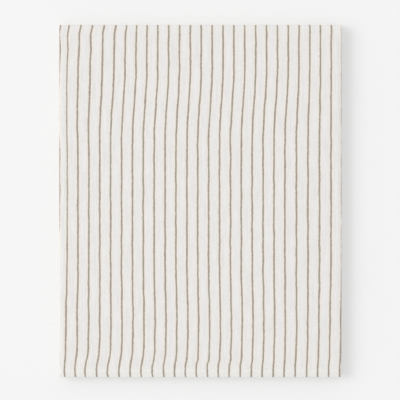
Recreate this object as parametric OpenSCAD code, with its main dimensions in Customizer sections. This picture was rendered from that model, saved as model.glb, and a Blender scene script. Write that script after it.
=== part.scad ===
// Long woven baby wrap, put away as a flat folded packet.
//
// How the cloth is folded, in order:
//   1. both selvedges are turned under to meet along the middle (two plies = one "layer"),
//   2. the turned-in strip is halved along its length, backs inside,
//   3. it is halved once more, which gives a strip of four layers, a to d,
//   4. that strip is fan-folded into four panels, 1 at the bottom to 4 on top.
// Every layer keeps its letter from panel to panel, so panel_1_layer_a and
// panel_2_layer_a are one stretch of cloth, joined by a bend in fold_1_2.
// Laid out flat the cloth is twice packet_w wide and about 16 times packet_l long.
//
// X runs across the stripes, Y along them, Z up. The origin is at the middle of
// the underside.

/* [Folded packet] */
// Width of the packet between its two side folds
packet_w = 280; // [200:1:360]
// Length of the packet along the stripes
packet_l = 350; // [260:1:440]

/* [Cloth] */
// Thickness of one ply of cloth
ply = 0.46; // [0.36:0.01:0.7]
// Space between the two plies of a layer
ply_gap = 0.06; // [0.02:0.01:0.2]
// Clearance between one layer and the next
layer_gap = 0.02; // [0.01:0.01:0.1]
// Space between the two selvedges where they meet at the back of a layer
selvedge_gap = 2; // [0.5:0.5:10]

/* [Hems of the two cut ends] */
// Depth of a hem, along the stripes
hem_depth = 10; // [6:0.5:16]
// Thickness of a pressed hem across both of its turned-in halves
hem_t = 1.4; // [1.2:0.05:1.6]
// Bare distance between the outer end's hem and the inner end's edge
end_stagger = 2; // [1:0.5:20]

/* [Thread] */
// Thickness of the sewing thread
thread_d = 0.24; // [0.16:0.02:0.28]
// Length of one stitch
stitch_l = 2.2; // [1.2:0.1:2.6]
// Distance from one stitch to the next
stitch_pitch = 3; // [2.8:0.1:6]
// Distance from a hem's stitches to its inner edge
stitch_inset = 1.2; // [0.6:0.1:3]

/* [Blank labels] */
// Thickness of the folded label tape
label_t = 0.3; // [0.2:0.02:0.36]
// Width of the middle marker, across the stripes
marker_w = 18; // [10:1:40]
// Length of the middle marker, along the stripes
marker_l = 12; // [8:1:40]
// Width of the care label, across the stripes
care_w = 25; // [15:1:60]
// Length of the care label, along the stripes
care_l = 40; // [20:1:90]
// How far a label reaches past the selvedge that it is sewn to
label_sewn = 6; // [4:0.5:12]
// Distance from a label to the hem or bend beside it
label_setback = 5; // [1:0.5:20]

/* [Hidden] */
// Panels in the fan fold, the last one on top.
PANELS = 4;
// Double layers in each panel.
LETTERS = ["a", "b", "c", "d"];
LAYERS = len(LETTERS);
// Clearance round whatever lies between two layers.
fit_gap = 0.02;
$fn = 48;

layer_t = 2 * ply + ply_gap;
pitch = layer_t + layer_gap;
panel_t = LAYERS * pitch;
stack_top = PANELS * panel_t - layer_gap;
side_r = layer_t / 2;

// The fan folds stand one panel thickness past the flat cloth.
flat_end = packet_l / 2 - panel_t;
// The end of the strip that was halved last stands half a panel past it.
strip_end = -packet_l / 2 + panel_t / 2;
// The bend at the middle of the cloth's length stops short of the packet's edge.
middle_end = -packet_l / 2 + panel_t / 2;
outer_hem_end = -packet_l / 2 + layer_gap / 2;
inner_hem_end = outer_hem_end + hem_depth + end_stagger;

// What a hem stands past the layer that it ends, above and below.
hem_extra = (hem_t - layer_t) / 2;
// Room above a hem or label for its thread.
thread_room = thread_d / 2 + fit_gap;

function layer_name(p, k) = str("panel_", p, "_layer_", LETTERS[k]);
function is_even(n) = n % 2 == 0;
// Place of a layer in the whole stack, counted from the bottom: odd panels lie with
// layer a on top, even ones are turned over.
function slot(p, k) = (p - 1) * LAYERS + (is_even(p) ? k : LAYERS - 1 - k);
function layer_z(p, k) = slot(p, k) * pitch;
function face_up(p, k) = is_even(p) != is_even(k);
// Height of the hairline between two stacked slots, where a bend has its centre.
function between(lower_slot) = (lower_slot + 1) * pitch - layer_gap / 2;

// Where a layer's flat cloth starts along Y. All of it ends at flat_end.
function front_y(p, k) =
    p == 1 ? strip_end :
    p < PANELS ? -flat_end :
    LETTERS[k] == "d" ? outer_hem_end + hem_depth :
    LETTERS[k] == "c" ? inner_hem_end + hem_depth :
    middle_end;

module cloth_colour() color([0.92, 0.915, 0.9]) children();
module stripe_side_colour() color([0.88, 0.865, 0.83]) children();
module thread_colour() color([0.97, 0.965, 0.95]) children();
module tape_colour() color([0.8, 0.76, 0.68]) children();

// A flat bar with half-round ends, across X, from y = 0 up to t.
module rounded_bar(w, t) {
    translate([-w / 2 + t / 2, 0]) square([w - t, t]);
    for (side = [-1, 1]) translate([side * (w / 2 - t / 2), t / 2]) circle(d = t);
}

// Cross-section of turned-in cloth: the whole face ply at the top, and both
// turned-under halves below it, with their selvedges meeting at x = 0.
module turned_in_section(t) {
    one_ply = (t - ply_gap) / 2;
    difference() {
        rounded_bar(packet_w, t);
        translate([0, one_ply]) rounded_bar(packet_w - 2 * one_ply, ply_gap);
        translate([-selvedge_gap / 2, -t]) square([selvedge_gap, t + one_ply + ply_gap / 2]);
    }
}

// Turned-in cloth lying flat, from y0 to y1, standing on z.
module flat_cloth(y0, y1, z, t, face_is_up) {
    translate([0, y1, z + (face_is_up ? 0 : t)])
        rotate([90, 0, 0])
            linear_extrude(height = y1 - y0)
                mirror([0, face_is_up ? 0 : 1])
                    turned_in_section(t);
}

// Half a turn of turned-in cloth about an axis along X, bulging to +Y.
// ring counts outward from the axis.
module bend(ring, face_is_in) {
    r_in = layer_gap / 2 + ring * pitch;
    rotate([0, 90, 0])
        rotate_extrude(angle = 180)
            translate([r_in + (face_is_in ? layer_t : 0), 0])
                rotate(face_is_in ? 90 : -90)
                    turned_in_section(layer_t);
}

// Places a bend at a level between two slots, on the +Y or the -Y side.
module at_fold(y, lower_slot, side) {
    translate([0, y, between(lower_slot)]) mirror([0, side < 0 ? 1 : 0, 0]) children();
}

// The four nested bends that join panel p to panel p + 1.
module fan_fold(p) {
    side = is_even(p) ? -1 : 1;
    stripe_side_colour()
        at_fold(side * flat_end, p * LAYERS - 1, side)
            for (ring = [0 : LAYERS - 1]) bend(ring, is_even(ring));
}

// A row of stitches along X: half-round threads lying on the surface at z.
module stitch_row(x0, x1, y, z) {
    count = floor((x1 - x0 - stitch_l) / stitch_pitch) + 1;
    first = (x0 + x1 - (count - 1) * stitch_pitch) / 2;
    for (i = [0 : count - 1])
        translate([first + i * stitch_pitch, y, z]) stitch();
}

module stitch() {
    rotate([90, 0, 90])
        linear_extrude(height = stitch_l, center = true)
            intersection() {
                circle(d = thread_d);
                translate([-thread_d, 0]) square([2 * thread_d, thread_d]);
            }
}

// The labels lie between two layers of the top panel, sewn to the selvedge at x < 0.
label_x0 = -selvedge_gap / 2 - label_sewn;
marker_y0 = middle_end + label_setback;
care_y0 = inner_hem_end + hem_depth + label_setback;
marker_z = between(slot(PANELS, 0)) - label_t / 2;
care_z = between(slot(PANELS, 2)) - label_t / 2;
inner_hem_z = layer_z(PANELS, 2) - hem_extra;
outer_hem_z = stack_top - hem_t;

module block(x0, y0, z0, w, l, h) translate([x0, y0, z0]) cube([w, l, h]);

// Room for one label and its thread.
module label_pocket(y0, z, w, l) {
    block(label_x0 - fit_gap, y0 - fit_gap, z - fit_gap,
          w + 2 * fit_gap, l + 2 * fit_gap, label_t + fit_gap + thread_room);
}

// Room that the pieces between the layers of the top panel take.
module pockets() {
    label_pocket(marker_y0, marker_z, marker_w, marker_l);
    label_pocket(care_y0, care_z, care_w, care_l);
    block(-packet_w, inner_hem_end - fit_gap, inner_hem_z - fit_gap,
          2 * packet_w, hem_depth + fit_gap, hem_t + fit_gap + thread_room);
}

module layer(p, k) {
    cloth_colour()
        difference() {
            flat_cloth(front_y(p, k), flat_end, layer_z(p, k), layer_t, face_up(p, k));
            if (p == PANELS) pockets();
        }
}

module strip_end_bend(ring) {
    stripe_side_colour()
        at_fold(strip_end, LAYERS / 2 - 1, -1) bend(ring, is_even(ring));
}

module middle_bend() {
    stripe_side_colour()
        at_fold(middle_end, slot(PANELS, 0), -1) bend(0, false);
}

module outer_end_hem() {
    cloth_colour()
        flat_cloth(outer_hem_end, outer_hem_end + hem_depth, outer_hem_z, hem_t, true);
}

module inner_end_hem() {
    cloth_colour()
        flat_cloth(inner_hem_end, inner_hem_end + hem_depth, inner_hem_z, hem_t, false);
}

module hem_stitching(end_y, top_z) {
    thread_colour()
        stitch_row(-packet_w / 2 + side_r, packet_w / 2 - side_r,
                   end_y + hem_depth - stitch_inset, top_z);
}

module outer_hem_stitching() hem_stitching(outer_hem_end, stack_top);
module inner_hem_stitching() hem_stitching(inner_hem_end, inner_hem_z + hem_t);

// A blank loop of tape, pressed flat.
module label(y0, z, w, l) {
    tape_colour() block(label_x0, y0, z, w, l, label_t);
}

// Two short rows of thread that hold a label to the selvedge.
module label_stitching(y0, z, l) {
    thread_colour()
        for (y = [y0 + l / 4, y0 + 3 * l / 4])
            stitch_row(label_x0, label_x0 + label_sewn, y, z + label_t);
}

module middle_marker() label(marker_y0, marker_z, marker_w, marker_l);
module middle_marker_stitching() label_stitching(marker_y0, marker_z, marker_l);
module care_label() label(care_y0, care_z, care_w, care_l);
module care_label_stitching() label_stitching(care_y0, care_z, care_l);

for (p = [1 : PANELS])
    for (k = [0 : LAYERS - 1])
        layer(p, k);
fan_fold(1);  // fold_1_2
fan_fold(2);  // fold_2_3
fan_fold(3);  // fold_3_4
strip_end_bend(0);  // strip_end_bend_inner
strip_end_bend(1);  // strip_end_bend_outer
middle_bend();
outer_end_hem();
inner_end_hem();
outer_hem_stitching();
inner_hem_stitching();
middle_marker();
middle_marker_stitching();
care_label();
care_label_stitching();
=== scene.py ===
"""Looks of a folded woven baby wrap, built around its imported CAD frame. Metres throughout.

The wrap is one long cloth with both sides turned in, halved twice and then fan-folded into
four panels. Every piece of cloth here is a length of that turned-in strip: it has one face
ply, two turned-under halves below it and a round fold along both sides, and it is swept
along a run of stations that follow the strip through its flat layers and its bends.
"""

import math

import bpy
import numpy as np
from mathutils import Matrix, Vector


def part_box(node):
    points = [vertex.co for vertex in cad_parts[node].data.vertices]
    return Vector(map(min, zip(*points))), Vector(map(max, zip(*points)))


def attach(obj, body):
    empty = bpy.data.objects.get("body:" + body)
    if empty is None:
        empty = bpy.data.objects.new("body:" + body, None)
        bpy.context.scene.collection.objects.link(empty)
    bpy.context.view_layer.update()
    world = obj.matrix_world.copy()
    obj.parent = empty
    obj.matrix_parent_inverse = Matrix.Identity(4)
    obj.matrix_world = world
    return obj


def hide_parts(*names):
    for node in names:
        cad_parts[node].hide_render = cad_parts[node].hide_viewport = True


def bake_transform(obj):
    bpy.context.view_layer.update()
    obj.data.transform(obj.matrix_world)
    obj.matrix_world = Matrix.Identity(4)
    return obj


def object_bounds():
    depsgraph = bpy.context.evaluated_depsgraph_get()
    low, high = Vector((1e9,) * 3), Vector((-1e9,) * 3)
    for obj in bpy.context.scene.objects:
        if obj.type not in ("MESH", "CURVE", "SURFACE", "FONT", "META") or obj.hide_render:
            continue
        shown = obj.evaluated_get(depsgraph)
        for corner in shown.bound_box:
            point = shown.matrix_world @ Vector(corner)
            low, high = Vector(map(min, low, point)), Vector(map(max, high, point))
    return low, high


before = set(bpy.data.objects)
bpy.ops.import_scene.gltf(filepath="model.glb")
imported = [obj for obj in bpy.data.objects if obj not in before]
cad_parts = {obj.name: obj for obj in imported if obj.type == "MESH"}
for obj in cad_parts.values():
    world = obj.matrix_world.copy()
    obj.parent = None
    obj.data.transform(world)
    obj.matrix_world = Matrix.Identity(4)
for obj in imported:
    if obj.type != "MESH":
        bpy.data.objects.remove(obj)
CAD_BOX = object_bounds()

MM = 0.001

# ---------------------------------------------------------------- driving sizes

# The cloth and its tapes. The CAD layers have the same ply.
PLY = 0.46 * MM
SELVEDGE_GAP = 2.0 * MM         # between the selvedges where they meet at the back
LEAD = 5.0 * MM                 # flat cloth that a bend piece carries at both ends
HEM_LEAD = 2.0 * MM             # cloth over which a hem thins down to its layer
TAPE_PLY = 0.13 * MM
THINNEST_GAP = 0.02 * MM        # the least between two plies, at a hem's round end
END_SHARE = 0.12                # share of a hem's thickness that its very end keeps, squared

# Stripes, measured across the cloth.
STRIPE_PITCH = 10.81 * MM
STRIPE_WIDTH = 1.7 * MM
STRIPE_SHIFT = -2.65 * MM       # from the middle of the cloth to the nearest stripe
STRETCH_FROM = 84.0 * MM        # right of here the stripes lie wider apart
STRETCH = 0.056
STRIPE_SOFTNESS = 0.22 * MM     # half the width over which a stripe's edge fades
WARM_EDGES = (4.4 * MM, 0.8 * MM)   # distances from a stripe between which a warm tone grows
WARM_SHARE = 0.75
HEM_TONE_EDGES = (10.4 * MM, 9.4 * MM)  # places along the cloth between which the hem's tone grows
HEM_TONE_SHARE = 0.6

# Places along the strip, from its outer end.
TOP_LAYER_END = 0.34
INNER_EDGES_FROM = 0.40         # from here on the side folds wander as the inner layers' do
TOP_STRIPES_TO = 0.37           # up to here the stripes run as on the top layer
INNER_STRIPES_FROM = 0.42       # from here on they run as in the inner layers

# Unevenness of the cloth's shape.
RELIEF = 0.14 * MM              # depth of the crinkles in a face
PUCKER = 0.22 * MM              # depth of the puckers beside the hem's stitches
PUCKER_REACH = 3.2 * MM         # how far from the seam they fade out
SEAM_GROOVE = 0.7 * MM          # half the width of the dent that the seam itself makes
SWELL = 0.45 * MM               # how far the top of the packet undulates
BACK_FOLD_DEPTH = 8.0 * MM      # the far fold, which neither undulates nor droops
FRONT_CALM = 26.0 * MM          # the near end of the packet, which doesn't undulate
SWELL_RISE = 50.0 * MM          # where the undulation grows, beside these
DROOP_RISE = 30.0 * MM          # where the drooping of the sides grows, beside the far fold
SIDE_DROOP = 0.5 * MM           # how far the top comes down at its sides
SIDE_REACH = 2.2 * MM           # how far in from a side that starts
FRONT_DROOP = 1.3 * MM          # how far the top comes down at the near edge
FRONT_REACH = 6.0 * MM          # how far in from the near edge that starts
LOOSE_EDGE = 0.6 * MM           # how far the inner layers' side folds wander
TOP_EDGE = 0.15 * MM            # how far the top layer's side folds wander
LEFT_PROUD = 0.35 * MM          # how far the inner layers stand out on the left
INNER_WANDER = 0.9 * MM         # how far the inner layers' stripes stray
UNDER_FOLD_SHIFT = 1.3 * MM     # moves their last stripe on the right off the side fold
UNDER_FOLD = (0.12, 0.14)       # place across the cloth where that shift grows

# Room that a layer leaves for what lies between it and its neighbour.
ROOM_MARGIN = 6.0 * MM          # beside it
ROOM_GAP = 0.02 * MM            # above or below it

# Stitches.
STITCH_LENGTH = 2.2 * MM
STITCH_PITCH = 3.0 * MM
STITCH_DIP = 0.22 * MM          # how deep a stitch's ends dive into the cloth
THREAD_R = 0.12 * MM
LABEL_SEAMS = (0.25, 0.75)      # places of a label's two rows of stitches, as shares of its width

# ---------------------------------------------------------------- facts from the frame

LETTERS = "abcd"
PANELS = 4


def corners(node):
    """Lowest and highest corner of a CAD node, as arrays."""
    lo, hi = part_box(node)
    return np.array(lo), np.array(hi)


def middle_y(node):
    """Middle of a CAD node along the strip."""
    lo, hi = corners(node)
    return float(lo[1] + hi[1]) / 2


def layer_node(panel, letter):
    return f"panel_{panel}_layer_{letter}"


def face_sign(panel, letter):
    """+1 where the layer lies face up, -1 where it lies face down."""
    up = (panel % 2 == 0) != (LETTERS.index(letter) % 2 == 0)
    return 1 if up else -1


TOP_LAYER = (PANELS, "d")
TOP_BODY = f"panel_{PANELS}"
TOP_HI = corners(layer_node(*TOP_LAYER))[1]
HALF_W = float(TOP_HI[0])
STACK_TOP = float(TOP_HI[2])
LOW_LO, LOW_HI = corners(layer_node(1, "d"))
LAYER_T = float(LOW_HI[2] - LOW_LO[2])
SEAM_Y = middle_y("outer_hem_stitching")
TOP_PANEL_Z = float(corners(layer_node(PANELS, "a"))[0][2])
BACK_Y = float(CAD_BOX[1][1])
FRONT_Y = float(CAD_BOX[0][1])

# ---------------------------------------------------------------- smooth variation


def step(value, start, end):
    """0 where value hasn't reached start, 1 where it has passed end, and smooth between."""
    t = np.clip((value - start) / (end - start), 0, 1)
    return t * t * (3 - 2 * t)


def drift_noise(*coordinates, seed):
    """A smooth, fixed pattern between -1 and 1, of waves about one unit long or longer."""
    total = np.zeros(np.broadcast(*coordinates).shape)
    waves = 4
    for wave in range(waves):
        turn = seed * 1.7 + wave * 2.4
        phase = seed * 5.1 + wave * 3.3
        for axis, c in enumerate(coordinates):
            phase = phase + c * 2 * math.pi * (0.6 + 0.5 * math.cos(turn + axis * 1.9))
        total = total + np.sin(phase)
    return total / waves


def edge_wander(side, v):
    """How far the side fold stands from its nominal place, for the cloth at v along the strip."""
    under = step(v, TOP_LAYER_END, INNER_EDGES_FROM)
    wander = TOP_EDGE + (LOOSE_EDGE - TOP_EDGE) * under
    quick = drift_noise(v / 0.09, seed=3 + side)
    slow = drift_noise(v / 0.31, seed=9 + side)
    proud = LEFT_PROUD if side < 0 else -LEFT_PROUD / 2
    return wander * (quick * 0.6 + slow * 0.4) + proud * under


def swell(x, y):
    """Height of the packet's soft undulation, none at its front and back folds."""
    back = step(y, BACK_Y - BACK_FOLD_DEPTH, BACK_Y - BACK_FOLD_DEPTH - SWELL_RISE)
    front = step(y, FRONT_Y + FRONT_CALM, FRONT_Y + FRONT_CALM + SWELL_RISE)
    return SWELL * back * front * drift_noise(x / 0.16, y / 0.2, seed=2)


def droop(x, y):
    """How far the top of the packet comes down towards its sides and its near edge."""
    back = step(y, BACK_Y - BACK_FOLD_DEPTH, BACK_Y - BACK_FOLD_DEPTH - DROOP_RISE)
    side = step(HALF_W - np.abs(x), SIDE_REACH, 0) * back
    front = step(y - FRONT_Y, FRONT_REACH, 0)
    return SIDE_DROOP * side * (1 - front) + FRONT_DROOP * front


def lift_with_packet(points):
    """Moves points with the packet's undulation and its drooping edges, which fade downwards."""
    moved = points.copy()
    x, y, z = points[..., 0], points[..., 1], points[..., 2]
    moved[..., 2] += swell(x, y) * z / STACK_TOP
    moved[..., 2] -= droop(x, y) * step(z, TOP_PANEL_Z, STACK_TOP)
    return moved


def crinkle(x, v):
    """Depth of the cloth's crinkles, from 0 to 1, longer along the stripes than across them."""
    wide = drift_noise(x / (14 * MM), v / (80 * MM), seed=4)
    fine = drift_noise(x / (6 * MM), v / (30 * MM), seed=6)
    return 0.5 + 0.3 * wide + 0.2 * fine


def pucker(x, y):
    """Depth of the gathers that the hem's stitches pull into the cloth, from 0 to 1."""
    near = np.exp(-((y - SEAM_Y) / PUCKER_REACH) ** 2)
    groove = np.exp(-((y - SEAM_Y) / SEAM_GROOVE) ** 2)
    gather = 0.5 + 0.5 * drift_noise(x / (7 * MM), y / (50 * MM), seed=8)
    return near * gather * 0.7 + groove * 0.3


# How far the top layer's stripes stray to the right of straight, in millimetres.
FAR_PUSH = 3.5                  # in the far half of the packet, away from its sides
ROLL_PUSH = 0.4                 # of the leftmost stripes as they near the far fold
FOLD_PUSH = 1.4                 # of the same stripes on the far fold itself
LEFT_PUSH = -0.9                # of the leftmost stripes in the far half, short of that
MIDDLE_BOW = 0.9                # in the near half, all stripes, but not at the near edge
SIDE_BOW = -2.2                 # in the near half, at both sides of the packet
HEM_LEAN = -2.2                 # as they reach the hem, mostly in the left half
HEM_JOG = -0.3                  # across the hem's seam, all stripes
MIDDLE_JOG = -1.1               # across the hem's seam, the middle ones besides
HEM_CURL = 0.4                  # back again on the hem's round end, in the left half
SIDE_STRIPE = 3.3               # of the stripe on the left side fold, away from the near end
SIDE_STRIPE_FAR = 0.5           # of the same stripe besides, in the far quarter
SIDE_STRIPE_END = -1.2          # and less again before the far fold
RIGHT_EDGE = -0.5               # of the stripe on the right side fold, up to the near half


def stripe_drift(x, y):
    """How far a stripe of the top layer lies to the right of straight, at a place on the packet.

    The places between which each term grows are in millimetres from the packet's middle.
    """
    mm_x = np.clip(x / MM, -140, 140)
    mm_y = y / MM
    from_middle = np.abs(mm_x)
    far = FAR_PUSH * step(mm_y, 58, 133) * step(from_middle, 140, 75)
    rolled = ROLL_PUSH * step(mm_y, 130, 155) + FOLD_PUSH * step(mm_y, 165, 174)
    far_left = rolled * step(mm_x, -45, -85)
    left_in = LEFT_PUSH * step(mm_y, 40, 80) * step(mm_y, 155, 115) * step(mm_x, -90, -130)
    # In the near half the stripes shift right, but not at the near edge, and left at both sides.
    bow = step(mm_y, -65, -115)
    bowed = bow * (MIDDLE_BOW * step(mm_y, -175, -125) + SIDE_BOW * (from_middle / 135) ** 3)
    # The hem is sewn a little to the left of where the cloth would lie.
    lean = HEM_LEAN * step(mm_y, -148, -168) * step(mm_x, 20, -90) * step(mm_x, -140, -110)
    middle = step(np.abs(mm_x - 15), 75, 0)
    jog = (HEM_JOG + MIDDLE_JOG * middle) * step(mm_y, -157, -163.5)
    curl = HEM_CURL * step(mm_y, -170.5, -174.5) * step(mm_x, 60, 0)
    # One more stripe runs just on the left side fold, and leaves it towards the near edge.
    on_fold = SIDE_STRIPE * step(mm_y, -110, 10) + SIDE_STRIPE_FAR * step(mm_y, 100, 140)
    on_fold = on_fold + SIDE_STRIPE_END * step(mm_y, 152, 164)
    left_edge = on_fold * step(mm_x, -131, -139)
    right_edge = RIGHT_EDGE * step(mm_x, 131, 138) * (1 - bow)
    return MM * (far + far_left + left_in + bowed + lean + jog + curl + left_edge + right_edge)


def inner_drift(u, v):
    """The same for a stripe of the inner layers, at place u across and v along the cloth."""
    wander = drift_noise(u / 0.5, v / 0.35, seed=5) * INNER_WANDER
    return wander + UNDER_FOLD_SHIFT * step(u, *UNDER_FOLD)


# ---------------------------------------------------------------- the strip's route


def make_run(y, z, ny, nz, v, t):
    """Stations along the strip: middle of the layer, direction its face looks, place, thickness."""
    parts = np.broadcast_arrays(*(np.asarray(a, float) for a in (y, z, ny, nz, v, t)))
    return dict(zip(("y", "z", "ny", "nz", "v", "t"), parts))


def run_length(run):
    return float(run["v"][-1] - run["v"][0])


def layer_middle(panel, letter):
    """Height of the middle of a layer."""
    return float(corners(layer_node(panel, letter))[0][2]) + LAYER_T / 2


def flat_run(panel, letter, y0, y1, v0, spacing):
    """A straight length of one layer, from y0 to y1."""
    count = max(2, round(abs(y1 - y0) / spacing) + 1)
    y = np.linspace(y0, y1, count)
    face = face_sign(panel, letter)
    return make_run(y, layer_middle(panel, letter), 0, face, v0 + np.abs(y - y0), LAYER_T)


def bend_run(start, end, y_axis, side, v0, segments):
    """From one layer round half a turn into the next, with a flat lead at both ends."""
    z_a = layer_middle(*start)
    z_b = layer_middle(*end)
    radius = abs(z_b - z_a) / 2
    z_axis = (z_a + z_b) / 2
    up = 1 if z_b > z_a else -1
    face_out = face_sign(*start) * -up
    turn = np.linspace(0, math.pi, segments + 1)
    out_y = side * np.sin(turn)
    out_z = -up * np.cos(turn)
    lead = LEAD * np.array([1.0, 0.66, 0.33])
    flat = 0 * lead
    y = np.concatenate([y_axis - side * lead, y_axis + radius * out_y, y_axis - side * lead[::-1]])
    z = np.concatenate([flat + z_a, z_axis + radius * out_z, flat + z_b])
    ny = np.concatenate([flat, face_out * out_y, flat])
    nz = np.concatenate([flat - face_out * up, face_out * out_z, flat + face_out * up])
    arc = LEAD + radius * turn
    v = v0 + np.concatenate([LEAD - lead, arc, arc[-1] + lead[::-1]])
    return make_run(y, z, ny, nz, v, LAYER_T)


def hem_run(node, panel, letter, thick, v0, heading, spacing):
    """A hem, from its round end to where it has thinned down to its layer."""
    lo, hi = corners(node)
    face = face_sign(panel, letter)
    length = float(hi[1] - lo[1]) + HEM_LEAD
    nose = thick / 2
    turn = np.linspace(0, math.pi / 2, 6)
    round_end = nose * (1 - np.cos(turn[:-1]))
    s = np.concatenate([round_end, np.linspace(nose, length, max(3, round(length / spacing)))])
    t_full = thick + (LAYER_T - thick) * step(s, length - HEM_LEAD, length)
    share = np.sqrt(np.clip(1 - (1 - np.clip(s / nose, 0, 1)) ** 2, END_SHARE, 1))
    # The hem is flush with its layer on the side that has to lie flat.
    middle = layer_middle(panel, letter)
    if node == "outer_end_hem":
        z = middle + face * LAYER_T / 2 - face * t_full / 2
    else:
        z = middle - LAYER_T / 2 + t_full / 2
    y = float(lo[1]) + s
    if heading > 0:
        return make_run(y, z, 0, face, v0 + s, t_full * share)
    flip = slice(None, None, -1)
    return make_run(y[flip], z[flip], 0, face, v0 + length - s[flip], (t_full * share)[flip])


# ---------------------------------------------------------------- meshes

# The bake map's parts along the strip: a sliver for each end cap, and between them the sides.
CAP_MAP = 0.004
SIDE_MAP = (0.006, 0.994)


def path_points(face_steps, back_steps, arc_steps):
    """The turned-in section's path, selvedge to selvedge: (kind, side, share along that stretch)."""
    points = [("back", -1, t) for t in np.linspace(0, 1, back_steps + 1)[:-1]]
    points += [("arc", -1, t) for t in np.linspace(0, 1, arc_steps + 1)[:-1]]
    points += [("face", 0, t) for t in np.linspace(0, 1, face_steps + 1)]
    points += [("arc", 1, 1 - t) for t in np.linspace(0, 1, arc_steps + 1)[1:]]
    points += [("back", 1, 1 - t) for t in np.linspace(0, 1, back_steps + 1)[1:]]
    return points


def surface_of(run, points, outer):
    """x, height above the layer's middle and place across the cloth, for one side of the ply."""
    t = run["t"]
    gap = np.maximum(t - 2 * PLY * t / LAYER_T, THINNEST_GAP)
    reach = t / 2 if outer else gap / 2
    middle = (t / 2 + gap / 2) / 2
    left = HALF_W + edge_wander(-1, run["v"]) - t / 2
    right = HALF_W + edge_wander(1, run["v"]) - t / 2
    xs, hs, us = [], [], []
    for kind, side, share in points:
        centre = right if side > 0 else left
        if kind == "face":
            x = -left + (left + right) * share
            h = reach
            u = x
        elif kind == "arc":
            angle = math.pi * share
            x = side * (centre + reach * math.sin(angle))
            h = -reach * math.cos(angle)
            u = side * (centre + middle * (math.pi - angle))
        else:
            inward = SELVEDGE_GAP / 2 + (centre - SELVEDGE_GAP / 2) * share
            x = side * inward
            h = -reach
            u = side * (2 * centre + math.pi * middle - inward)
        xs.append(x)
        hs.append(h + 0 * x)
        us.append(u)
    return np.array(xs).T, np.array(hs).T, np.array(us).T


def map_across(points):
    """Places across the bake map, most for the face and the last tenth for the ply's inner side."""
    spans = {("back", -1): (0.0, 0.05), ("arc", -1): (0.05, 0.07), ("face", 0): (0.07, 0.83),
             ("arc", 1): (0.85, 0.83), ("back", 1): (0.90, 0.85)}
    outside = [spans[k, s][0] + (spans[k, s][1] - spans[k, s][0]) * t for k, s, t in points]
    lining = np.linspace(0.91, 1.0, len(points))
    return np.concatenate([outside, lining, [1.0]])


def loft_faces(stations, loop):
    """Corners of a loft's side faces, and of the faces that cap its first row."""
    half = loop // 2
    i = np.arange(stations - 1)[:, None] * loop
    j = np.arange(loop)[None, :]
    k = (j + 1) % loop
    sides = np.stack([i + j, i + k, i + loop + k, i + loop + j], axis=-1).reshape(-1, 4)
    a = np.arange(half - 1)
    cap = np.stack([a, loop - 1 - a, loop - 2 - a, a + 1], axis=-1)
    return sides, cap


def loft_map(stations, loop, across):
    """The bake map of a loft: its sides as one sheet, and a sliver for each end cap."""
    j = np.arange(loop)[None, :]
    along = np.linspace(*SIDE_MAP, stations)
    shape = (stations - 1, loop, 4)
    side_u = np.stack([across[j], across[j + 1], across[j + 1], across[j]], axis=-1)
    side_v = np.stack([along[:-1], along[:-1], along[1:], along[1:]], axis=-1)
    side_u = np.broadcast_to(side_u, shape).reshape(-1, 4)
    side_v = np.broadcast_to(side_v[:, None, :], shape).reshape(-1, 4)
    a = np.arange(loop // 2 - 1)
    cap_u = np.stack([across[a], across[a], across[a + 1], across[a + 1]], axis=-1)
    cap_v = np.broadcast_to([CAP_MAP, 0.0, 0.0, CAP_MAP], cap_u.shape)
    map_u = np.concatenate([side_u, cap_u, cap_u[:, ::-1]])
    map_v = np.concatenate([side_v, cap_v, (1 - cap_v)[:, ::-1]])
    return np.stack([map_u, map_v], axis=-1)


def inside_out(points, faces):
    """Whether the faces of a closed solid look inward."""
    quad = points[faces]
    volume = np.einsum("ij,ij->", np.cross(quad[:, 0], quad[:, 1]), quad[:, 2])
    volume += np.einsum("ij,ij->", np.cross(quad[:, 0], quad[:, 2]), quad[:, 3])
    return volume < 0


def loft(name, rows, across, material, cloth=None):
    """A closed solid from rows of points: each row is a closed loop, its first half the outer side."""
    stations, loop, _ = rows.shape
    last = (stations - 1) * loop
    sides, cap = loft_faces(stations, loop)
    faces = np.concatenate([sides, cap, last + cap[:, ::-1]])
    bake_map = loft_map(stations, loop, across)
    points = rows.reshape(-1, 3)
    if inside_out(points, faces):
        faces = faces[:, ::-1]
        bake_map = bake_map[:, ::-1]
    mesh = bpy.data.meshes.new(name)
    mesh.from_pydata(points.tolist(), [], faces.tolist())
    mesh.polygons.foreach_set("use_smooth", np.ones(len(faces), bool))
    # The rims of both end caps are sharp.
    ends = np.zeros(len(mesh.edges) * 2, int)
    mesh.edges.foreach_get("vertices", ends)
    ends = ends.reshape(-1, 2)
    sharp = (ends < loop).all(axis=1) | (ends >= last).all(axis=1)
    mesh.attributes.new("sharp_edge", "BOOLEAN", "EDGE").data.foreach_set("value", sharp)
    uv = mesh.uv_layers.new(name="OFBake")
    uv.data.foreach_set("uv", bake_map.reshape(-1).astype(np.float32))
    if cloth is not None:
        attribute = mesh.attributes.new("cloth", "FLOAT_VECTOR", "POINT")
        attribute.data.foreach_set("vector", cloth.reshape(-1).astype(np.float32))
    mesh.materials.append(material)
    piece = bpy.data.objects.new(name, mesh)
    bpy.context.scene.collection.objects.link(piece)
    return piece


def make_room(rows, lo, hi, above):
    """Pushes the points beside a box clear of it, upward where above is +1 and downward for -1."""
    inside = np.ones(rows.shape[:-1], bool)
    for axis in (0, 1):
        inside &= rows[..., axis] > lo[axis] - ROOM_MARGIN
        inside &= rows[..., axis] < hi[axis] + ROOM_MARGIN
    if above > 0:
        clear = np.maximum(rows[..., 2], hi[2] + ROOM_GAP)
    else:
        clear = np.minimum(rows[..., 2], lo[2] - ROOM_GAP)
    rows[..., 2] = np.where(inside, clear, rows[..., 2])


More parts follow.
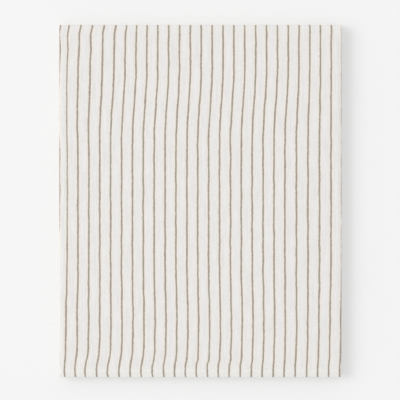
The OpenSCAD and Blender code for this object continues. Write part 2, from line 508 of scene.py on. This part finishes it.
def cloth_piece(name, run, steps, material, rooms=(), hem=False):
    """A length of the turned-in strip. rooms are (corner, corner, +1 above or -1 below)."""
    points = path_points(*steps)
    is_face = np.array([kind == "face" for kind, _, _ in points])[None, :]
    along = run["v"][:, None]
    on_top = step(along, INNER_STRIPES_FROM, TOP_STRIPES_TO)
    loops, coords = [], []
    for outer in (True, False):
        x, h, u = surface_of(run, points, outer)
        y0 = run["y"][:, None] + 0 * x
        if outer:
            depth = RELIEF * crinkle(x, along) * np.abs(run["nz"])[:, None]
            if hem:
                depth = depth + PUCKER * pucker(x, y0)
            h = h - np.where(is_face, depth, 0) * np.minimum(1, run["t"][:, None] / LAYER_T)
        y = y0 + run["ny"][:, None] * h
        z = run["z"][:, None] + run["nz"][:, None] * h
        shift = stripe_drift(u, y) * on_top + inner_drift(u, along) * (1 - on_top)
        stretched = u - shift - STRETCH * np.maximum(0, u - STRETCH_FROM)
        ring = np.stack([x, y, z], axis=-1)
        coord = np.stack([stretched, along + 0 * x, u], axis=-1)
        loops.append(ring if outer else ring[:, ::-1])
        coords.append(coord if outer else coord[:, ::-1])
    rows = np.concatenate(loops, axis=1)
    for room in rooms:
        make_room(rows, *room)
    rows = lift_with_packet(rows)
    cloth = np.concatenate(coords, axis=1)
    return loft(name, rows, map_across(points), material, cloth)


# ---------------------------------------------------------------- materials

WHITE = (0.793, 0.785, 0.772, 1)
WHITE_SHADE = (0.718, 0.711, 0.699, 1)
HEM_WHITE = (0.814, 0.799, 0.766, 1)
CREAM = (0.790, 0.731, 0.661, 1)
TAN = (0.333, 0.290, 0.241, 1)
TAN_LIGHT = (0.430, 0.380, 0.322, 1)
# Painted shade and light of the thread's twist: the darker colour goes in its grooves, the lighter one
# on its ridges.
THREAD_GROOVE_SHADE_PAINTED = (0.70, 0.675, 0.63, 1)
THREAD_RIDGE_LIGHT_PAINTED = (0.82, 0.80, 0.765, 1)
TAPE_DARK = (0.44, 0.37, 0.28, 1)
TAPE_MID = (0.52, 0.45, 0.35, 1)
# Painted highlight on the twill's raised ribs; the dark and mid colours above are the tape's own uneven
# tone.
TAPE_RIB_HIGHLIGHT_PAINTED = (0.62, 0.55, 0.45, 1)

WARP_PITCH = 0.62 * MM
WEFT_PITCH = 0.66 * MM
WEAVE_DEPTH = 0.30 * MM
THREAD_TWIST = 0.34 * MM        # pitch of the thread's twist
THREAD_DEPTH = 0.05 * MM
TWILL_PITCH = 0.5 * MM
TWILL_DEPTH = 0.08 * MM


class Nodes:
    """Short names for building a material's nodes."""

    def __init__(self, name):
        self.material = bpy.data.materials.new(name)
        self.material.use_nodes = True
        self.tree = self.material.node_tree
        self.shader = self.tree.nodes["Principled BSDF"]

    def put(self, socket, value):
        """Links a socket to another's output, or sets it to a plain value."""
        if isinstance(value, bpy.types.NodeSocket):
            self.tree.links.new(value, socket)
        else:
            socket.default_value = value

    def math(self, operation, *values):
        node = self.tree.nodes.new("ShaderNodeMath")
        node.operation = operation
        for socket, value in zip(node.inputs, values):
            self.put(socket, value)
        return node.outputs[0]

    def add(self, a, b):
        return self.math("ADD", a, b)

    def subtract(self, a, b):
        return self.math("SUBTRACT", a, b)

    def times(self, a, b):
        return self.math("MULTIPLY", a, b)

    def ripple(self, value, pitch):
        """A sine wave of the given pitch, between -1 and 1."""
        return self.math("SINE", self.times(value, 2 * math.pi / pitch))

    def ramp(self, value, low, high, to_low=0.0, to_high=1.0):
        """A smooth step from to_low to to_high as value goes from low to high."""
        node = self.tree.nodes.new("ShaderNodeMapRange")
        node.interpolation_type = "SMOOTHSTEP"
        for socket, v in zip(node.inputs, (value, low, high, to_low, to_high)):
            self.put(socket, v)
        return node.outputs[0]

    def mix(self, share, a, b):
        """Colour a where share is 0 and b where it is 1."""
        node = self.tree.nodes.new("ShaderNodeMix")
        node.data_type = "RGBA"
        self.put(node.inputs["Factor"], share)
        self.put(node.inputs[6], a)
        self.put(node.inputs[7], b)
        return node.outputs[2]

    def noise(self, x, y, size_x, size_y, detail=2.0):
        """Noise between about 0 and 1, with features of the given sizes."""
        place = self.tree.nodes.new("ShaderNodeCombineXYZ")
        self.put(place.inputs[0], self.math("DIVIDE", x, size_x))
        self.put(place.inputs[1], self.math("DIVIDE", y, size_y))
        node = self.tree.nodes.new("ShaderNodeTexNoise")
        node.noise_dimensions = "2D"
        self.put(node.inputs["Vector"], place.outputs[0])
        self.put(node.inputs["Scale"], 1.0)
        self.put(node.inputs["Detail"], detail)
        return node.outputs["Fac"]

    def wobble(self, x, y, size_x, size_y, amount):
        """Noise around 0, over a range of about the given amount."""
        return self.times(self.subtract(self.noise(x, y, size_x, size_y), 0.5), amount)

    def bump(self, height, distance):
        node = self.tree.nodes.new("ShaderNodeBump")
        self.put(node.inputs["Height"], height)
        self.put(node.inputs["Distance"], distance)
        self.put(node.inputs["Strength"], 1.0)
        self.put(self.shader.inputs["Normal"], node.outputs[0])

    def place(self, kind, output):
        """The three parts of a vector that a node of this kind puts out, and that node."""
        node = self.tree.nodes.new(kind)
        split = self.tree.nodes.new("ShaderNodeSeparateXYZ")
        self.put(split.inputs[0], node.outputs[output])
        return split.outputs, node

    def cloth_place(self):
        """Place across the stripes, along the cloth, and plainly across the cloth."""
        parts, node = self.place("ShaderNodeAttribute", "Vector")
        node.attribute_name = "cloth"
        return parts

    def object_place(self):
        """Place in the part's own frame, which stays with a piece as its body moves."""
        parts, _ = self.place("ShaderNodeTexCoord", "Object")
        return parts


def striped_cloth(name, fine):
    """Slubby off-white gauze with woven tan stripes. fine adds the weave's relief and gloss."""
    n = Nodes(name)
    across, along, plain = n.cloth_place()
    # Stripes, each wobbling a little as a slub yarn does.
    slow = n.wobble(across, along, 9 * MM, 16 * MM, 1.1 * MM)
    quick = n.wobble(across, along, 4 * MM, 2.6 * MM, 0.5 * MM)
    place = n.add(n.add(across, slow), quick)
    turn = n.math("DIVIDE", n.subtract(place, STRIPE_SHIFT), STRIPE_PITCH)
    part = n.subtract(turn, n.math("ROUND", turn))
    away = n.times(n.math("ABSOLUTE", part), STRIPE_PITCH)
    slub = n.wobble(across, along, 5 * MM, 4 * MM, 0.5 * MM)
    half = n.add(slub, STRIPE_WIDTH / 2)
    stripe = n.ramp(n.subtract(away, half), STRIPE_SOFTNESS, -STRIPE_SOFTNESS)
    beside = n.ramp(away, *WARM_EDGES, 0.0, WARM_SHARE)
    # Yarns of the ground, uneven along and across the cloth.
    grain = n.noise(plain, along, 1.3 * MM, 34 * MM, 3)
    weft = n.noise(plain, along, 26 * MM, 1.2 * MM, 3)
    mottle = n.noise(plain, along, 7 * MM, 11 * MM, 3)
    shade = n.add(n.times(grain, 0.6), n.times(weft, 0.15))
    shade = n.ramp(n.math("MULTIPLY_ADD", mottle, 0.25, shade), 0.3, 0.75)
    ground = n.mix(beside, n.mix(shade, WHITE, WHITE_SHADE), CREAM)
    in_hem = n.ramp(along, *HEM_TONE_EDGES, 0.0, HEM_TONE_SHARE)
    ground = n.mix(in_hem, ground, HEM_WHITE)
    tone = n.ramp(n.noise(across, along, 0.7 * MM, 2.2 * MM, 2), 0.35, 0.75)
    n.put(n.shader.inputs["Base Color"], n.mix(stripe, ground, n.mix(tone, TAN, TAN_LIGHT)))
    n.shader.inputs["Sheen Weight"].default_value = 0.12
    n.shader.inputs["Sheen Roughness"].default_value = 0.55
    n.shader.inputs["Specular IOR Level"].default_value = 0.25
    n.shader.inputs["Roughness"].default_value = 0.92
    if fine:
        n.put(n.shader.inputs["Roughness"], n.ramp(shade, 0, 1, 0.86, 0.96))
        weave = n.times(n.times(n.ripple(plain, WARP_PITCH), n.ripple(along, WEFT_PITCH)), 0.10)
        slubs = n.add(n.times(grain, 0.8), n.times(weft, 0.25))
        height = n.add(n.add(weave, slubs), n.times(stripe, 0.25))
        n.bump(n.math("MULTIPLY_ADD", mottle, 0.5, height), WEAVE_DEPTH)
    return n.material


def sewing_thread():
    """Off-white thread with the relief of its twist, and painted shade: its colour is darker in the
    twist's grooves and lighter on its ridges.
    """
    n = Nodes("sewing_thread")
    x, y, _ = n.object_place()
    shade = n.ramp(n.ripple(n.add(x, y), THREAD_TWIST), -1, 1)
    # Painted shade: the colour follows the twist's relief, darker in its grooves and lighter on its
    # ridges.
    n.put(n.shader.inputs["Base Color"], n.mix(shade, THREAD_GROOVE_SHADE_PAINTED, THREAD_RIDGE_LIGHT_PAINTED))
    n.put(n.shader.inputs["Roughness"], n.ramp(shade, 0, 1, 0.75, 0.6))
    n.bump(shade, THREAD_DEPTH)
    return n.material


def label_tape():
    """Plain tan twill tape, with its own uneven tone and a painted highlight that makes the twill's
    ribs lighter than its grooves.
    """
    n = Nodes("label_tape")
    x, y, _ = n.object_place()
    rib = n.ripple(n.add(x, y), TWILL_PITCH)
    cross = n.ripple(n.subtract(x, y), TWILL_PITCH)
    twill = n.ramp(n.math("MULTIPLY_ADD", cross, 0.4, rib), -1.4, 1.4)
    tone = n.noise(x, y, 1.5 * MM, 9 * MM, 3)
    low = n.mix(tone, TAPE_DARK, TAPE_MID)
    # The tape's own tone varies between dark and mid; a painted highlight lightens the twill's ribs,
    # leaving its grooves darker as painted shade.
    n.put(n.shader.inputs["Base Color"], n.mix(twill, low, TAPE_RIB_HIGHLIGHT_PAINTED))
    n.put(n.shader.inputs["Roughness"], n.ramp(twill, 0, 1, 0.85, 0.7))
    n.bump(twill, TWILL_DEPTH)
    return n.material


FINE_CLOTH = striped_cloth("striped_cloth", True)
INNER_CLOTH = striped_cloth("striped_cloth_inside", False)
THREAD = sewing_thread()
TAPE = label_tape()

# ---------------------------------------------------------------- the cloth's pieces

# (steps across the face, across each turned-under half, round a side fold), spacing along
TOP_GRID = ((140, 24, 6), 2.0 * MM)
SHOWN_GRID = ((70, 16, 6), 4.0 * MM)
HIDDEN_GRID = ((46, 12, 5), 6.0 * MM)
OUTER_HEM_SPACING = 1.0 * MM
INNER_HEM_SPACING = 2.0 * MM
BEND_SEGMENTS = {"a": 8, "b": 10, "c": 12, "d": 14}

# The strip's layers, from its outer end to its inner end.
UPWARD = range(1, PANELS + 1)
DOWNWARD = range(PANELS, 0, -1)
PASSES = [("d", DOWNWARD), ("a", UPWARD), ("b", DOWNWARD), ("c", UPWARD)]
ROUTE = [(panel, letter) for letter, panels in PASSES for panel in panels]
SAME_PANEL_BENDS = {"da": "strip_end_bend_outer", "ab": "middle_bend", "bc": "strip_end_bend_inner"}

# What lies between the layers of the top panel: (node, +1 above it or -1 below it), and its stitches.
BETWEEN = {"a": [("middle_marker", -1)],
           "b": [("middle_marker", 1), ("inner_end_hem", -1)],
           "c": [("care_label", -1)],
           "d": [("care_label", 1), ("inner_end_hem", 1)]}
SEWN_WITH = {"middle_marker": "middle_marker_stitching", "care_label": "care_label_stitching",
             "inner_end_hem": "inner_hem_stitching"}


def heading_of(number):
    """Which way along Y the strip runs through a layer of its route."""
    return 1 if number % 2 == 0 else -1


def piece_name(panel, letter):
    return f"cloth_{layer_node(panel, letter)}"


def grid_of(panel, letter):
    """Finest for the top layer, and coarser for layers of which only the edges show."""
    if (panel, letter) == TOP_LAYER:
        return TOP_GRID
    return SHOWN_GRID if letter in "ad" else HIDDEN_GRID


def material_of(letter):
    return FINE_CLOTH if letter in "ad" else INNER_CLOTH


def rooms_in(panel, letter):
    """Where a layer makes room for what lies between it and its neighbour."""
    rooms = []
    for node, above in BETWEEN[letter] if panel == PANELS else []:
        lo, hi = corners(node)
        hi = np.maximum(hi, corners(SEWN_WITH[node])[1])
        rooms.append((lo, hi, above))
    return rooms


def build_layer(number, y_range, v0):
    """One flat layer of the strip. Gives the length of cloth it takes."""
    panel, letter = ROUTE[number]
    steps, spacing = grid_of(panel, letter)
    run = flat_run(panel, letter, *y_range, v0, spacing)
    piece = cloth_piece(piece_name(panel, letter), run, steps, material_of(letter),
                        rooms_in(panel, letter), hem=(panel, letter) == TOP_LAYER)
    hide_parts(layer_node(panel, letter))
    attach(piece, f"panel_{panel}")
    return run_length(run)


def build_bend(number, y_axis, v0):
    """The bend between two layers of the route. Gives the length of cloth it takes."""
    start, end = ROUTE[number], ROUTE[number + 1]
    grid = TOP_GRID if TOP_LAYER in (start, end) else SHOWN_GRID
    run = bend_run(start, end, y_axis, heading_of(number), v0, BEND_SEGMENTS[start[1]])
    if start[0] == end[0]:
        node = SAME_PANEL_BENDS[start[1] + end[1]]
        piece = cloth_piece(f"cloth_{node}", run, grid[0], FINE_CLOTH)
        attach(piece, f"panel_{start[0]}")
    else:
        low, high = sorted((start[0], end[0]))
        node = f"fold_{low}_{high}"
        piece = cloth_piece(f"cloth_{node}_layer_{start[1]}", run, grid[0], FINE_CLOTH)
        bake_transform(piece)
    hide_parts(node)
    return run_length(run)


def build_hem(node, layer, v0, heading):
    """The hem of one of the strip's cut ends. Gives the length of cloth it takes."""
    lo, hi = corners(node)
    is_outer = node == "outer_end_hem"
    bottom = float(lo[2]) if is_outer else layer_middle(*layer) - LAYER_T / 2
    spacing = OUTER_HEM_SPACING if is_outer else INNER_HEM_SPACING
    run = hem_run(node, *layer, float(hi[2]) - bottom, v0, heading, spacing)
    grid = TOP_GRID if is_outer else HIDDEN_GRID
    piece = cloth_piece(f"cloth_{node}", run, grid[0], FINE_CLOTH, hem=is_outer)
    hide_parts(node)
    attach(piece, f"panel_{layer[0]}")
    return run_length(run)


def build_strip():
    """Follows the strip from its outer end to its inner end and makes every piece of cloth on it."""
    v = build_hem("outer_end_hem", ROUTE[0], 0.0, 1)
    last = len(ROUTE) - 1
    for number, layer in enumerate(ROUTE):
        lo, hi = corners(layer_node(*layer))
        heading = heading_of(number)
        near, far = (float(lo[1]), float(hi[1]))[::heading]
        y0 = near + heading * (HEM_LEAD if number == 0 else LEAD)
        y1 = far - heading * (HEM_LEAD if number == last else LEAD)
        v += build_layer(number, (y0, y1), v)
        if number == last:
            build_hem("inner_end_hem", layer, v, -1)
        else:
            v += build_bend(number, far, v)


build_strip()

# ---------------------------------------------------------------- stitches and labels


def stitch_tube(x0, y, z, length):
    """One stitch: thread that rises from the cloth, runs along it and dives in again."""
    turn = np.linspace(0, 2 * math.pi, 9)[:-1]
    rings = []
    for s in np.linspace(0, 1, 9):
        dip = (2 * s - 1) ** 4 * STITCH_DIP
        ring_y = y + THREAD_R * np.cos(turn)
        ring_z = z - dip + THREAD_R * np.sin(turn)
        rings.append(np.stack([x0 + length * s + 0 * turn, ring_y, ring_z], axis=-1))
    return np.array(rings)


def thread_piece(node, rows_y, body):
    """A line or lines of stitches, standing for a CAD node of stitches."""
    lo, hi = corners(node)
    count = round((float(hi[0] - lo[0]) - STITCH_LENGTH) / STITCH_PITCH) + 1
    surface = float(lo[2])
    points, faces = [], []
    for y in rows_y:
        for i in range(count):
            rings = stitch_tube(float(lo[0]) + i * STITCH_PITCH, y, surface, STITCH_LENGTH)
            stations, around, _ = rings.shape
            base = len(points)
            points += lift_with_packet(rings).reshape(-1, 3).tolist()
            for s in range(stations - 1):
                for a in range(around):
                    b = (a + 1) % around
                    low = base + s * around
                    faces.append((low + a, low + b, low + around + b, low + around + a))
            faces.append([base + a for a in reversed(range(around))])
            faces.append([base + (stations - 1) * around + a for a in range(around)])
    mesh = bpy.data.meshes.new(node)
    mesh.from_pydata(points, [], faces)
    mesh.polygons.foreach_set("use_smooth", np.ones(len(faces), bool))
    mesh.materials.append(THREAD)
    piece = bpy.data.objects.new(f"thread_{node}", mesh)
    bpy.context.scene.collection.objects.link(piece)
    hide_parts(node)
    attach(piece, body)
    return piece


def label_piece(node, body):
    """A blank loop of tape, pressed flat, with its fold at the free end and its cut ends sewn down."""
    lo, hi = corners(node)
    gap = float(hi[2] - lo[2]) - 2 * TAPE_PLY
    middle = float(lo[2] + hi[2]) / 2
    fold_x = float(hi[0]) - gap / 2 - TAPE_PLY
    flat_x = np.linspace(float(lo[0]), fold_x, 12)
    turn = np.linspace(-math.pi / 2, math.pi / 2, 7)[1:-1]
    sides = []
    for reach in (gap / 2 + TAPE_PLY, gap / 2):
        x = np.concatenate([flat_x, fold_x + reach * np.cos(turn), flat_x[::-1]])
        h = np.concatenate([0 * flat_x - reach, reach * np.sin(turn), 0 * flat_x + reach])
        sides.append(np.stack([x, h]))
    outer, inner = sides
    loop_x, loop_h = np.concatenate([outer, inner[:, ::-1]], axis=1)
    stations = np.linspace(float(lo[1]), float(hi[1]), 14)
    rows = np.zeros((len(stations), len(loop_x), 3))
    rows[..., 0] = loop_x
    rows[..., 1] = stations[:, None]
    rows[..., 2] = middle + loop_h
    across = np.linspace(0, 1, len(loop_x) + 1)
    piece = loft(f"tape_{node}", lift_with_packet(rows), across, TAPE)
    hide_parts(node)
    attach(piece, body)
    return piece


def build_label(node, body):
    """A label with its two seams, on the layer that it is sewn to."""
    lo, hi = corners(node)
    length = float(hi[1] - lo[1])
    tape = label_piece(node, body)
    sewn = thread_piece(SEWN_WITH[node], [float(lo[1]) + share * length for share in LABEL_SEAMS], body)


for seam in ("outer_hem_stitching", "inner_hem_stitching"):
    thread_piece(seam, [middle_y(seam)], TOP_BODY)
build_label("middle_marker", TOP_BODY)
build_label("care_label", TOP_BODY)

# ---------------------------------------------------------------- floor, light and camera

VIEW_WIDTH = 0.397              # what the frame shows across, level with the packet's top
CAMERA_HEIGHT = 2.0             # above the packet's top
CAMERA_X = -0.4 * MM
CAMERA_Y = 0.9 * MM
SENSOR = 36.0                   # millimetres
KEY_DISTANCE = 6.0
KEY_ELEVATION = math.radians(48)
KEY_AZIMUTH = math.radians(11)
KEY_SIZE = 3.6
KEY_POWER = 130.0
SKY = 0.84
SKY_SLOPE = 0.3                 # how much brighter the sky is on the bright side
BRIGHT_SIDE = (-0.92, 0.39, 0)
FLOOR_REACH = 6.0               # from the middle to each side
FLOOR_GREY = (0.53, 0.53, 0.53, 1)
FLOOR_GLOW = 0.335              # the floor glows a little, like a light table


def make_floor():
    """A plain pale grey floor, wide enough to fill the view from any side."""
    r = FLOOR_REACH
    mesh = bpy.data.meshes.new("floor")
    mesh.from_pydata([(-r, -r, 0), (r, -r, 0), (r, r, 0), (-r, r, 0)], [], [(0, 1, 2, 3)])
    floor = bpy.data.objects.new("floor", mesh)
    bpy.context.scene.collection.objects.link(floor)
    material = bpy.data.materials.new("floor")
    material.use_nodes = True
    shader = material.node_tree.nodes["Principled BSDF"]
    shader.inputs["Base Color"].default_value = FLOOR_GREY
    shader.inputs["Emission Color"].default_value = (1, 1, 1, 1)
    shader.inputs["Emission Strength"].default_value = FLOOR_GLOW
    shader.inputs["Roughness"].default_value = 1.0
    shader.inputs["Specular IOR Level"].default_value = 0.0
    mesh.materials.append(material)


def make_sky():
    """A white sky that is a little brighter on one side."""
    world = bpy.data.worlds.new("studio")
    bpy.context.scene.world = world
    world.use_nodes = True
    nodes = world.node_tree.nodes
    links = world.node_tree.links
    direction = nodes.new("ShaderNodeTexCoord")
    towards = nodes.new("ShaderNodeVectorMath")
    towards.operation = "DOT_PRODUCT"
    towards.inputs[1].default_value = BRIGHT_SIDE
    strength = nodes.new("ShaderNodeMath")
    strength.operation = "MULTIPLY_ADD"
    strength.inputs[1].default_value = SKY * SKY_SLOPE
    strength.inputs[2].default_value = SKY
    links.new(direction.outputs["Generated"], towards.inputs[0])
    links.new(towards.outputs["Value"], strength.inputs[0])
    links.new(strength.outputs[0], nodes["Background"].inputs["Strength"])
    nodes["Background"].inputs["Color"].default_value = (1, 1, 1, 1)


def make_key_light():
    """A large round lamp on the left that throws the soft shadow on the right."""
    lamp = bpy.data.lights.new("key", "AREA")
    lamp.shape = "DISK"
    lamp.size = KEY_SIZE
    lamp.energy = KEY_POWER
    key = bpy.data.objects.new("key", lamp)
    level = KEY_DISTANCE * math.cos(KEY_ELEVATION)
    key.location = (-level * math.cos(KEY_AZIMUTH), level * math.sin(KEY_AZIMUTH),
                    KEY_DISTANCE * math.sin(KEY_ELEVATION))
    key.rotation_euler = (-key.location).to_track_quat("-Z", "Y").to_euler()
    bpy.context.scene.collection.objects.link(key)


def make_camera():
    """Straight above the packet, looking down."""
    lens = bpy.data.cameras.new("camera")
    lens.sensor_width = SENSOR
    lens.lens = SENSOR * CAMERA_HEIGHT / VIEW_WIDTH
    camera = bpy.data.objects.new("camera", lens)
    camera.location = (CAMERA_X, CAMERA_Y, STACK_TOP + CAMERA_HEIGHT)
    bpy.context.scene.collection.objects.link(camera)
    bpy.context.scene.camera = camera


make_floor()
make_sky()
make_key_light()
make_camera()
bpy.context.scene.view_settings.view_transform = "Standard"
